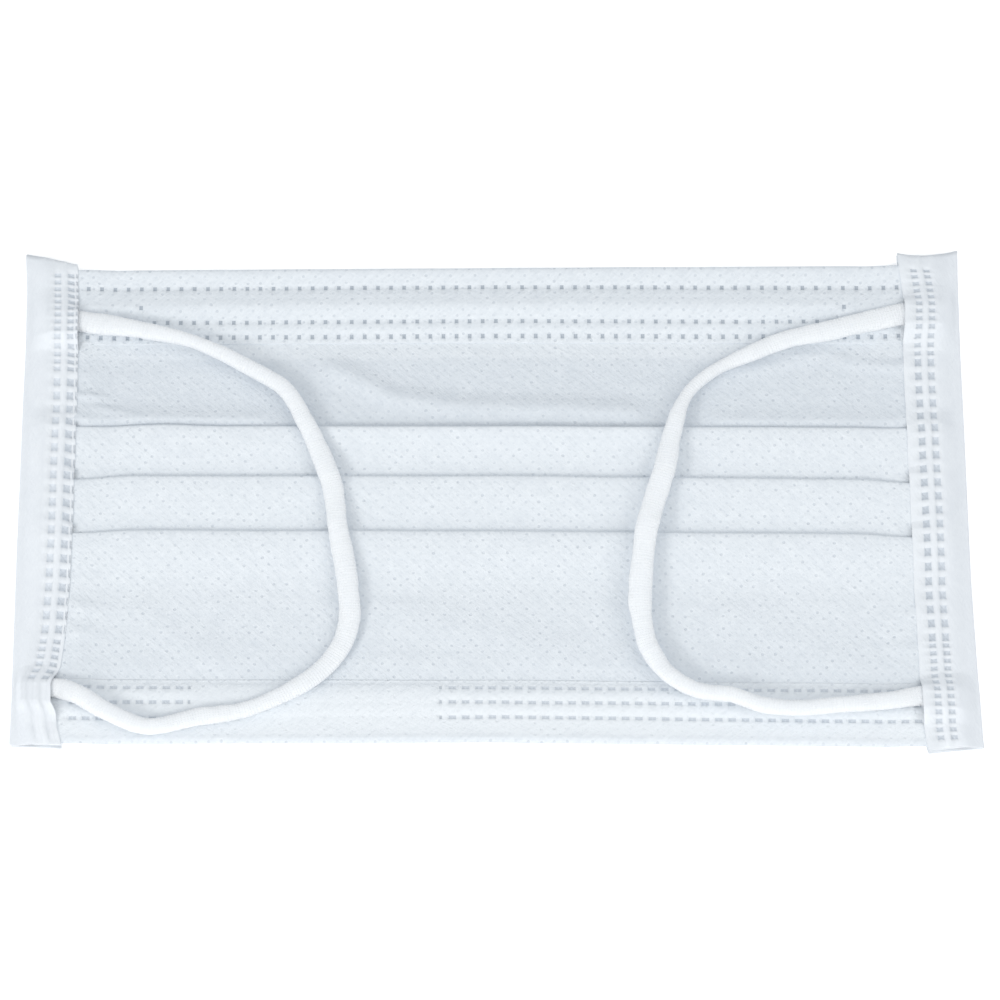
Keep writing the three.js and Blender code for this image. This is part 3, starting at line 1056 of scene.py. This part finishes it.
class Finish:
    """A material and its nodes."""

    def __init__(self, name):
        self.material = bpy.data.materials.new(name)
        self.material.use_nodes = True
        self.tree = self.material.node_tree
        self.tree.nodes.clear()

    def node(self, kind, settings=None, sockets=None, output=0):
        """Adds a node. Settings come first, then the values or links of its sockets."""
        made = self.tree.nodes.new(kind)
        for name, value in (settings or {}).items():
            setattr(made, name, value)
        for key, value in (sockets or {}).items():
            if isinstance(key, int):
                socket = made.inputs[key]
            else:
                socket = next(s for s in made.inputs if key in (s.identifier, s.name))
            if isinstance(value, Value):
                self.tree.links.new(value.socket, socket)
            else:
                socket.default_value = value
        if isinstance(output, int):
            return Value(self, made.outputs[output]) if made.outputs else None
        return Value(self, next(s for s in made.outputs if output in (s.identifier, s.name)))

    def place(self):
        """Place on the cloth in millimetres: across and along."""
        spot = self.node("ShaderNodeUVMap", {"uv_map": "cloth"})
        across = self.node("ShaderNodeSeparateXYZ", {}, {0: spot}, "X")
        along_cloth = self.node("ShaderNodeSeparateXYZ", {}, {0: spot}, "Y")
        return across * SPAN, along_cloth * SPAN

    def noise(self, x, y, scale, detail=2.0, roughness=0.5):
        spot = self.node("ShaderNodeCombineXYZ", {}, {0: x, 1: y})
        settings = {"noise_dimensions": "2D"}
        sockets = {"Vector": spot, "Scale": scale, "Detail": detail, "Roughness": roughness}
        return self.node("ShaderNodeTexNoise", settings, sockets, "Fac")

    def blend(self, amount, first, second):
        sockets = {"Factor_Float": amount, "A_Color": first, "B_Color": second}
        return self.node("ShaderNodeMix", {"data_type": "RGBA"}, sockets, "Result_Color")

    def surface(self, colour, roughness, height, **steady):
        """Principled surface with a relief in millimetres."""
        sockets = {"Height": height, "Distance": MM, "Strength": 1.0}
        relief = self.node("ShaderNodeBump", {}, sockets)
        sockets = {"Base Color": colour, "Roughness": roughness, "Normal": relief}
        sockets.update({name.replace("_", " "): value for name, value in steady.items()})
        shader = self.node("ShaderNodeBsdfPrincipled", {}, sockets)
        self.node("ShaderNodeOutputMaterial", {}, {"Surface": shader})
        return self.material


NAP = {"Sheen_Weight": 0.1, "Sheen_Roughness": 0.5, "IOR": 1.42}


def shade(colour, factor):
    return (colour[0] * factor, colour[1] * factor, colour[2] * factor, 1.0)


def fibres(finish, across, lengthways, slant, fineness, length=0.5):
    """Streaks of drawn fibres at a slant in degrees."""
    c = math.cos(math.radians(slant))
    s = math.sin(math.radians(slant))
    with_them = across * c + lengthways * s
    over_them = lengthways * c - across * s
    return finish.noise(with_them * length, over_them * fineness, 1.0, 3.0, 0.65)


def spunbond(name, colour, cool):
    """Bonded nonwoven: a staggered lattice of small pressed dots and slanting fibres."""
    finish = Finish(name)
    across, lengthways = finish.place()
    wander = finish.noise(across, lengthways, 0.09) - 0.5
    drift = finish.noise(across + 70, lengthways, 0.12) - 0.5
    streaks = fibres(finish, across, lengthways, 42, 1.3, 0.35)
    crossing = fibres(finish, across, lengthways, -28, 1.6, 0.35)
    down = fibres(finish, across, lengthways, 80, 1.5, 0.35)
    fuzz = finish.noise(across, lengthways, 4.0, 2.0, 0.6)
    cloud = finish.noise(across, lengthways, 0.3, 3.0, 0.6)
    column = (across + wander * 0.8) / DOT_SPACING[0]
    line = (lengthways + drift * 0.8) / DOT_SPACING[1]
    shift = (line.floor() * 0.5).part()
    aside = ((column + shift).part() - 0.5) * (DOT_SPACING[0] / DOT_SIZE[0])
    off = (line.part() - 0.5) * (DOT_SPACING[1] / DOT_SIZE[1])
    away = (aside * aside + off * off).root()
    clear = ((finish.noise(across, lengthways, 0.3, 2.0) - 0.42) * 4).kept() * 0.75 + 0.25
    dot = ((1.2 - away) * 2.0).kept() * clear
    rim = ((1.9 - away) * 1.6).kept() * clear - dot
    height = streaks * 0.17 + crossing * 0.09 + down * 0.07 + fuzz * 0.03 - dot * 0.06
    # Painted shade: the single layers of the upper and lower panels lie bare on the table and are
    # painted darker and cooler, standing in for their slopes' shading and the thin cloth's see-through.
    # Painted light: the chin hem is painted paler, most of all near its turn, standing in for the light its double
    # layer sends back.
    upper = ((lengthways - 33.5) * 0.8).kept() * ((51.5 - lengthways) * 0.5).kept()
    low = ((lengthways - 104) * 0.08).kept()
    raw_edge = ((CHIN_RUN + CHIN_HEM_RUN - lengthways) * 0.35).kept()
    hem = ((lengthways - CHIN_RUN) * 0.8).kept() * (raw_edge * 0.6 + 0.4)
    dark = 0.64 + (0.5 - streaks) * 1.1 + (0.5 - crossing) * 0.6 + (0.5 - cloud) * 0.6
    dark = dark + dot * (1.15 - hem * 0.8 - upper * 0.3) - rim * 0.2
    # Painted shade on the single layers and painted light on the chin hem.
    dark = dark + upper * 0.6 + low * 0.3 - hem * 0.95
    cloth = finish.blend((dark * 0.4).kept(), shade(colour, 1.05), shade(cool, 0.86))
    return finish.surface(cloth, 0.78 + (fuzz - 0.5) * 0.2, height, **NAP)


def weld_film(name, dark_colour, pale_colour):
    """Cloth melted to a thin greyish film, with the crossed pattern of the welding tool."""
    finish = Finish(name)
    across, lengthways = finish.place()
    tone = ((lengthways / 10).floor() - 1) / 10
    aside = ((across / 2).part() * 2 - 1).size()
    off = ((lengthways / 2).part() * 2 - 1).size()
    cross = (1 - (aside - off).size() * 3).kept()
    rim = ((aside + off + (aside - off).size()) * 2.5 - 4.0).kept()
    grain = finish.noise(across, lengthways, 1.7, 2.0)
    pale = (tone + rim * 0.4 - cross * 0.07 + (grain - 0.5) * 0.4).kept()
    film = finish.blend(pale, shade(dark_colour, 1.0), shade(pale_colour, 1.0))
    height = grain * 0.05 - cross * 0.05
    return finish.surface(film, 0.45 + (grain - 0.5) * 0.2, height, IOR=1.46)


def binding_cloth(name, colour, cool):
    """Thin smooth nonwoven, with painted shade making it greyer where nothing but the other flap lies below it."""
    finish = Finish(name)
    across, lengthways = finish.place()
    streaks = fibres(finish, across, lengthways, 62, 2.6)
    crossing = fibres(finish, across, lengthways, 118, 3.0)
    fuzz = finish.noise(across, lengthways, 5.0, 2.0, 0.6)
    cloud = finish.noise(across, lengthways, 0.22, 3.0, 0.6)
    # Painted shade: greyer near the outer fold, where no panel lies below the flaps.
    backed = ((across - 4.4) * 1.4).kept()
    dark = (1 - backed) * 0.3 + (0.5 - streaks) * 0.5 + (0.5 - crossing) * 0.3
    dark = dark + (0.5 - cloud) * 0.7
    cloth = finish.blend((dark * 0.6 + 0.1).kept(), shade(colour, 1.0), shade(cool, 0.9))
    height = streaks * 0.06 + crossing * 0.04 + fuzz * 0.02 + cloud * 0.1
    return finish.surface(cloth, 0.7 + (fuzz - 0.5) * 0.2, height, **NAP)


def knitted_elastic(name, colour):
    """Soft white knit: lengthwise wales crossed by fine loops, with a light nap."""
    finish = Finish(name)
    around, lengthways = finish.place()
    wander = finish.noise(around * 0.02, lengthways, 0.8) - 0.5
    wales = (around * (math.pi * 2 * 13 / SPAN)).sine().size()
    loops = ((lengthways + wander * 0.5 + wales * 0.12) * (math.pi * 2 / 0.52)).sine()
    nap = finish.noise(around * 0.05, lengthways, 3.0, 3.0, 0.65)
    cloud = finish.noise(around * 0.02, lengthways, 0.5, 2.0)
    height = loops * 0.02 + wales * 0.03 + nap * 0.07
    dark = (0.5 - nap) * 0.6 + (0.5 - cloud) * 0.5 + (1 - wales) * 0.1 - loops * 0.16
    knit = finish.blend((dark * 0.5 + 0.1).kept(), shade(colour, 1.0), shade(colour, 0.86))
    return finish.surface(
        knit,
        0.85 + (nap - 0.5) * 0.1,
        height,
        Sheen_Weight=0.15,
        Sheen_Roughness=0.4,
        Subsurface_Weight=0.5,
        Subsurface_Scale=0.0012,
        Subsurface_Radius=(1.0, 1.0, 1.0),
    )


def coated_wire(name, colour):
    """Drawn plastic coat with faint lengthwise lines."""
    finish = Finish(name)
    across, lengthways = finish.place()
    lines = finish.noise(across * 0.05, lengthways * 6, 1.0, 2.0)
    coat = finish.blend(lines, shade(colour, 0.95), shade(colour, 1.05))
    return finish.surface(coat, 0.4 + (lines - 0.5) * 0.1, lines * 0.02)


def table_top(name, colour, glow):
    """Plain pale studio floor."""
    finish = Finish(name)
    spot = finish.node("ShaderNodeTexCoord", {}, {}, "Object")
    grain = finish.node("ShaderNodeTexNoise", {}, {"Vector": spot, "Scale": 900.0}, "Fac")
    pale = finish.blend(grain, shade(colour, 0.995), shade(colour, 1.0))
    sockets = {"Base Color": pale, "Roughness": 0.9, "Emission Color": pale}
    sockets["Emission Strength"] = glow
    shader = finish.node("ShaderNodeBsdfPrincipled", {}, sockets)
    finish.node("ShaderNodeOutputMaterial", {}, {"Surface": shader})
    return finish.material


# Sizes and colours


def size_setting(name, description, default, high=0.01):
    return FloatProperty(
        name=name,
        description=description,
        default=default,
        min=0.0,
        max=high,
        unit="LENGTH",
        precision=5,
    )


def colour_setting(name, description, default):
    return FloatVectorProperty(
        name=name, description=description, default=default, subtype="COLOR", min=0.0, max=1.0
    )


class MaskSizes(bpy.types.PropertyGroup):
    panel_cloth: size_setting("Panel cloth", "Thickness of the pleated cloth", 0.0006)
    binding_strip: size_setting("Binding cloth", "Thickness of the side bindings", 0.00035)
    hem_weld: size_setting("Hem weld depth", "Depth of the weld marks in the hems", 0.00016)
    side_weld: size_setting("Side weld depth", "Depth of the weld marks in the bindings", 0.00018)
    left_loop: size_setting("Left loop length", "Real length of the left loop", 0.160, high=1.0)
    right_loop: size_setting("Right loop length", "Real length of the right loop", 0.158, high=1.0)
    loop_width: size_setting("Loop width", "Width of the flattened elastic", 0.0039)
    wire_width: size_setting("Wire width", "Width of the nose wire", 0.003)
    wire_length: size_setting("Wire length", "Length of the nose wire", 0.128, high=1.0)


class MaskColours(bpy.types.PropertyGroup):
    cloth: colour_setting("Cloth", "Filter cloth", (0.808, 0.846, 0.882))
    # The cloth shade colours the thin places of the cloth and the painted shade of its single layers.
    cloth_shade: colour_setting("Cloth shade", "Thin places of the cloth", (0.66, 0.72, 0.79))
    binding: colour_setting("Binding", "Side bindings", (0.826, 0.86, 0.898))
    # The binding shade is the painted shade of the unbacked binding.
    binding_shade: colour_setting("Binding shade", "Unbacked binding", (0.75, 0.79, 0.85))
    film: colour_setting("Weld film", "Darkest weld marks", (0.455, 0.505, 0.565))
    film_pale: colour_setting("Pale weld film", "Palest weld marks", (0.71, 0.76, 0.82))
    elastic: colour_setting("Elastic", "Ear loops", (0.885, 0.91, 0.945))
    wire: colour_setting("Wire coat", "Nose wire", (0.8, 0.82, 0.84))
    floor: colour_setting("Floor", "Studio floor", (0.97, 0.97, 0.97))


# Pieces


def put(piece, node, material_slot, *materials):
    """Gives a piece its materials and its place in the frame."""
    for material in materials:
        piece.data.materials.append(material)
    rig.ride(piece, "root")
    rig.replaces(piece, node)
    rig.slot(piece, material_slot)
    return piece


class MASK_OT_stage(bpy.types.Operator):
    """Camera, light and floor"""

    bl_idname = "mask.stage"
    bl_label = "Stage"

    def execute(self, context):
        scene = context.scene
        tilt, turned, roll = (math.radians(angle) for angle in CAMERA_ANGLES)
        flat = math.sin(tilt)
        back = Vector((math.sin(turned) * flat, -math.cos(turned) * flat, math.cos(tilt)))
        right = (-back).cross(Vector((0, 0, 1))).normalized()
        up = back.cross(right)
        across = right * math.cos(roll) + up * math.sin(roll)
        upright = up * math.cos(roll) - right * math.sin(roll)
        lens = bpy.data.cameras.new("camera")
        lens.lens = LENS
        lens.sensor_width = 36
        lens.clip_start = 0.05
        camera = bpy.data.objects.new("camera", lens)
        pose = Matrix((across, upright, back)).transposed().to_4x4()
        pose.translation = Vector(CAMERA_AIM) + back * CAMERA_DISTANCE
        camera.matrix_world = pose
        scene.collection.objects.link(camera)
        scene.camera = camera

        for name, place, size, power in LIGHTS:
            lamp = bpy.data.lights.new(name, "AREA")
            lamp.size = size
            lamp.energy = power
            lamp.color = LIGHT_COLOUR
            holder = bpy.data.objects.new(name, lamp)
            holder.location = place
            holder.rotation_mode = "QUATERNION"
            holder.rotation_quaternion = (-Vector(place)).to_track_quat("-Z", "Y")
            scene.collection.objects.link(holder)

        world = bpy.data.worlds.new("studio")
        world.use_nodes = True
        sky = world.node_tree.nodes["Background"]
        sky.inputs["Color"].default_value = SKY_COLOUR
        sky.inputs["Strength"].default_value = SKY_STRENGTH
        scene.world = world
        scene.view_settings.view_transform = "Standard"

        corners = ((0, 0), (1, 0), (1, 1), (0, 1))
        points = [((2 * u - 1) * FAR, (2 * v - 1) * FAR, 0) for u, v in corners]
        floor = solid("floor", points, [(0, 1, 2, 3)], corners)
        floor.location.z = -FLOOR_GAP * MM
        pale = table_top("pale_floor", scene.mask_colours.floor, FLOOR_GLOW)
        floor.data.materials.append(pale)
        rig.stage(floor)
        return {"FINISHED"}


class MASK_OT_ear_loops(bpy.types.Operator):
    """Both ear loops, lying on the mask"""

    bl_idname = "mask.ear_loops"
    bl_label = "Ear loops"

    def execute(self, context):
        sizes = context.scene.mask_sizes
        cloth = sizes.panel_cloth / MM
        knit = knitted_elastic("loop_elastic", context.scene.mask_colours.elastic)
        for name, rows, seed, length in (
            ("left_ear_loop", LEFT_LOOP_ROUTE, 3.0, sizes.left_loop),
            ("right_ear_loop", RIGHT_LOOP_ROUTE, 11.0, sizes.right_loop),
        ):
            piece, line = loop_tube(name + "_elastic", rows, seed, cloth)
            put(piece, name, "loop_elastic", knit)
            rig.cord(
                piece,
                exit=line[0],
                length=length,
                diameter=sizes.loop_width,
                far_end="object",
                stiffness="limp",
                lay="loose",
                path=line,
            )
        return {"FINISHED"}


class MASK_OT_filter_panel(bpy.types.Operator):
    """Pleated panel with both hems"""

    bl_idname = "mask.filter_panel"
    bl_label = "Pleated panel"

    def execute(self, context):
        sizes = context.scene.mask_sizes
        colours = context.scene.mask_colours
        columns, path = panel_columns(sizes.panel_cloth / MM, sizes.hem_weld / MM)

        def marked(c, r):
            row = path[r][2]
            if row <= 0 or path[r + 1][2] != row:
                return 0
            group, line = divmod(c - 2, 4)
            if line != 1 or not 0 <= group < MARK_COUNT or not is_marked(group, row):
                return 0
            return LONG_MARK if row in (4, 5, 6) else HEM_MARK

        piece = ribbon("filter_panel_cloth", columns, marked)
        cloth = spunbond("filter_cloth", colours.cloth, colours.cloth_shade)
        film = weld_film("hem_weld_film", colours.film, colours.film_pale)
        put(piece, "filter_body", "filter_cloth", cloth, film)
        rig.sheet(piece, flat=(0.1644, 0.155), held="folded", rests_on=["floor"])
        return {"FINISHED"}


class MASK_OT_nose_wire(bpy.types.Operator):
    """Coated wire in the nose hem"""

    bl_idname = "mask.nose_wire"
    bl_label = "Nose wire"

    def execute(self, context):
        sizes = context.scene.mask_sizes
        half = sizes.wire_length / MM / 2
        side = sizes.wire_width / MM / 2
        outline = []
        for k in range(WIRE_SIDES):
            angle = 2 * math.pi * k / WIRE_SIDES
            bead = 0.25 + 0.07 * math.cos(2 * angle) ** 2
            outline.append((side * math.cos(angle), bead * math.sin(angle)))
        points = []
        places = []
        for i in range(WIRE_RINGS):
            x = mix(-half, half, i / (WIRE_RINGS - 1))
            inward = max(abs(x) - half + WIRE_TIP, 0) / WIRE_TIP
            tip = math.sqrt(max(1 - inward**2, 0.04))
            y = line_y(x, WIRE_PLACE[0])
            for across, up in outline:
                points.append((x, y + across * tip, WIRE_PLACE[1] + up * tip))
                places.append((x / SPAN + 0.5, across / SPAN))
        faces = tube_faces(WIRE_RINGS, WIRE_SIDES)
        piece = solid("nose_wire_strip", points, faces, places)
        coat = coated_wire("wire_coat", context.scene.mask_colours.wire)
        put(piece, "nose_wire", "wire_plastic", coat)
        return {"FINISHED"}


class MASK_OT_bindings(bpy.types.Operator):
    """Welded strips round both sides"""

    bl_idname = "mask.bindings"
    bl_label = "Side bindings"

    def execute(self, context):
        sizes = context.scene.mask_sizes
        colours = context.scene.mask_colours
        cloth = binding_cloth("binding_cloth", colours.binding, colours.binding_shade)
        film = weld_film("side_weld_film", colours.film, colours.film_pale)
        cloth_height = sizes.panel_cloth / MM
        thickness = sizes.binding_strip / MM
        depth = sizes.side_weld / MM
        for name, rows, welds, entries, first_weld, dip in (
            ("left_binding", LEFT_BINDING, LEFT_WELDS, LEFT_ENTRIES, 1.35, 0.0),
            ("right_binding", RIGHT_BINDING, RIGHT_WELDS, RIGHT_ENTRIES, 2.7, 0.9),
        ):
            columns, marked = binding_columns(
                rows, welds, entries, first_weld, cloth_height, thickness, depth, dip
            )
            piece = ribbon(name + "_strip", columns, marked)
            put(piece, name, "binding_cloth", cloth, film)
            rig.sheet(piece, flat=(0.022, 0.1), held="folded", rests_on=["filter_panel_cloth"])
        return {"FINISHED"}


class MASK_PT_sidebar(bpy.types.Panel):
    """Buttons for each group of pieces, with their sizes and colours"""

    bl_idname = "MASK_PT_sidebar"
    bl_label = "Face Mask"
    bl_space_type = "VIEW_3D"
    bl_region_type = "UI"
    bl_category = "Face Mask"

    def draw(self, context):
        for step in STEPS:
            self.layout.operator(step.bl_idname)
        for group in (context.scene.mask_sizes, context.scene.mask_colours):
            box = self.layout.box()
            for name in group.bl_rna.properties.keys():
                if name not in ("rna_type", "name"):
                    box.prop(group, name)


STEPS = (
    MASK_OT_stage,
    MASK_OT_ear_loops,
    MASK_OT_filter_panel,
    MASK_OT_nose_wire,
    MASK_OT_bindings,
)
CLASSES = (MaskSizes, MaskColours, *STEPS, MASK_PT_sidebar)


def register():
    for each in CLASSES:
        bpy.utils.register_class(each)
    bpy.types.Scene.mask_sizes = PointerProperty(type=MaskSizes)
    bpy.types.Scene.mask_colours = PointerProperty(type=MaskColours)


def unregister():
    del bpy.types.Scene.mask_colours
    del bpy.types.Scene.mask_sizes
    for each in reversed(CLASSES):
        bpy.utils.unregister_class(each)


def main():
    register()
    bpy.ops.mask.stage()
    bpy.ops.mask.ear_loops()
    bpy.ops.mask.filter_panel()
    bpy.ops.mask.nose_wire()
    bpy.ops.mask.bindings()
    boxes = {"cad": CAD_BOX, "visual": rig.bounds()}
    with open("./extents.json", "w") as file:
        json.dump({key: [list(low), list(high)] for key, (low, high) in boxes.items()}, file)


if __name__ == "__main__":
    main()
